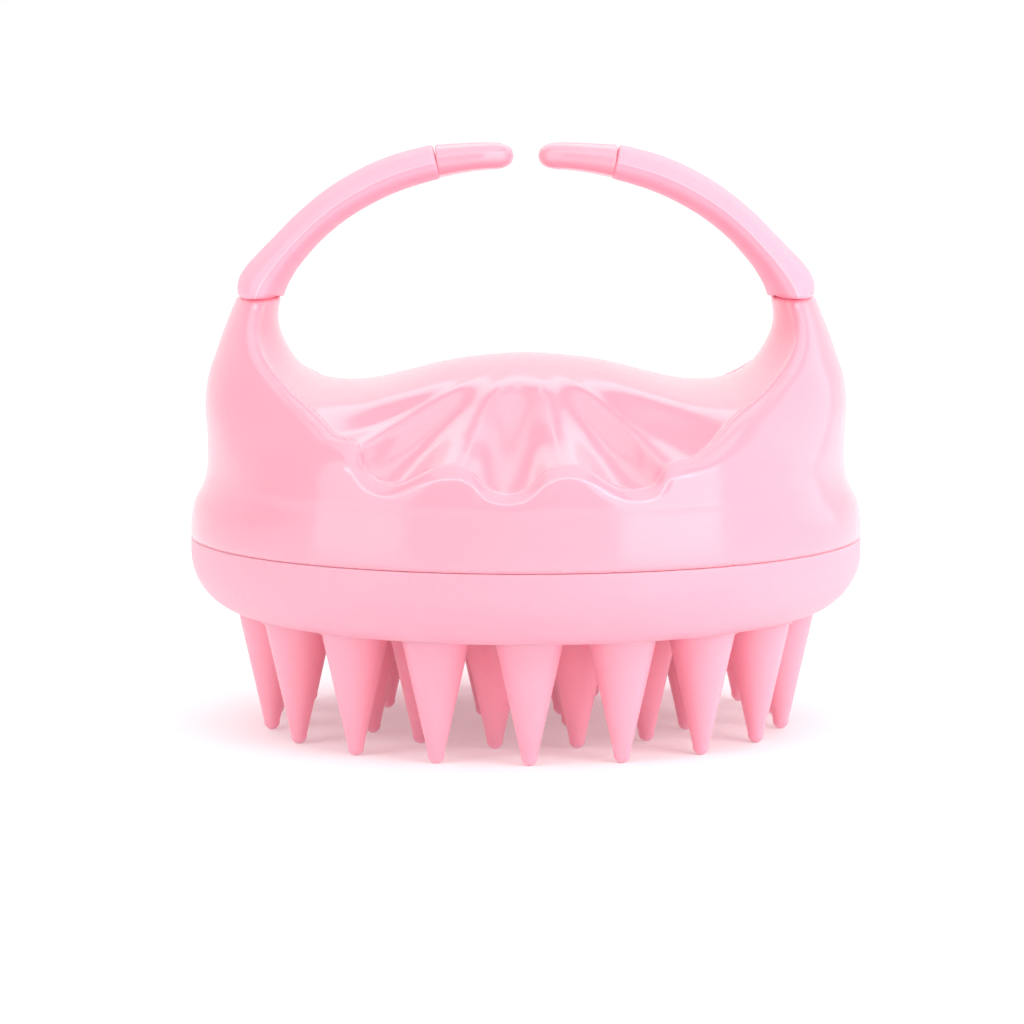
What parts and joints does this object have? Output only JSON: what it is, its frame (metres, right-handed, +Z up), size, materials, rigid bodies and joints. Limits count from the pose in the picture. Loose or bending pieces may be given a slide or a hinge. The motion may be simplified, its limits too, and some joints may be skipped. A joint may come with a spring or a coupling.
{
  "type": "scalp massager brush",
  "caption": "Hand-held scalp massager with a round shell, soft cone teeth in rings under a silicone cup, and a split, flexible grip loop over a finger-grooved saddle.",
  "frame": {"origin": "centre of the round head, on the plane of the tooth tips", "axes": "+Z up from the tooth tips to the grip loop, +X to the right along the grip loop, -Y towards the side seen in the reference view"},
  "size_m": [0.0884, 0.0884, 0.0768],
  "materials": {
    "abs_shell": "glossy moulded ABS, pale pink",
    "abs_tips": "glossy moulded ABS, pale pink",
    "grip_tpe": "satin soft-touch elastomer, pink",
    "silicone": "satin translucent silicone, pink",
    "core_nylon": "natural nylon",
    "carrier_abs": "moulded ABS, off-white",
    "screw_steel": "zinc-plated steel"
  },
  "bodies": {
    "head": {"handle_shell": "abs_shell", "silicone_cup": "silicone", "teeth_outer_ring": "silicone", "teeth_middle_ring": "silicone", "teeth_inner_ring": "silicone", "head_carrier": "carrier_abs", "carrier_screws": "screw_steel"},
    "left_arm": {"left_arm_core": "core_nylon", "left_grip_sleeve": "grip_tpe", "left_tip_cap": "abs_tips"},
    "right_arm": {"right_arm_core": "core_nylon", "right_grip_sleeve": "grip_tpe", "right_tip_cap": "abs_tips"}
  },
  "joints": [
    {"name": "left_arm_flex", "type": "hinge", "parent": "head", "child": "left_arm", "pos_m": [-0.0357, 0, 0.0541], "axis": [0, -1, 0], "range_deg": [-3, 8], "stiffness_Nm_per_rad": 2},
    {"name": "right_arm_flex", "type": "hinge", "parent": "head", "child": "right_arm", "pos_m": [0.0357, 0, 0.0541], "axis": [0, 1, 0], "range_deg": [-3, 8], "stiffness_Nm_per_rad": 2}
  ]
}
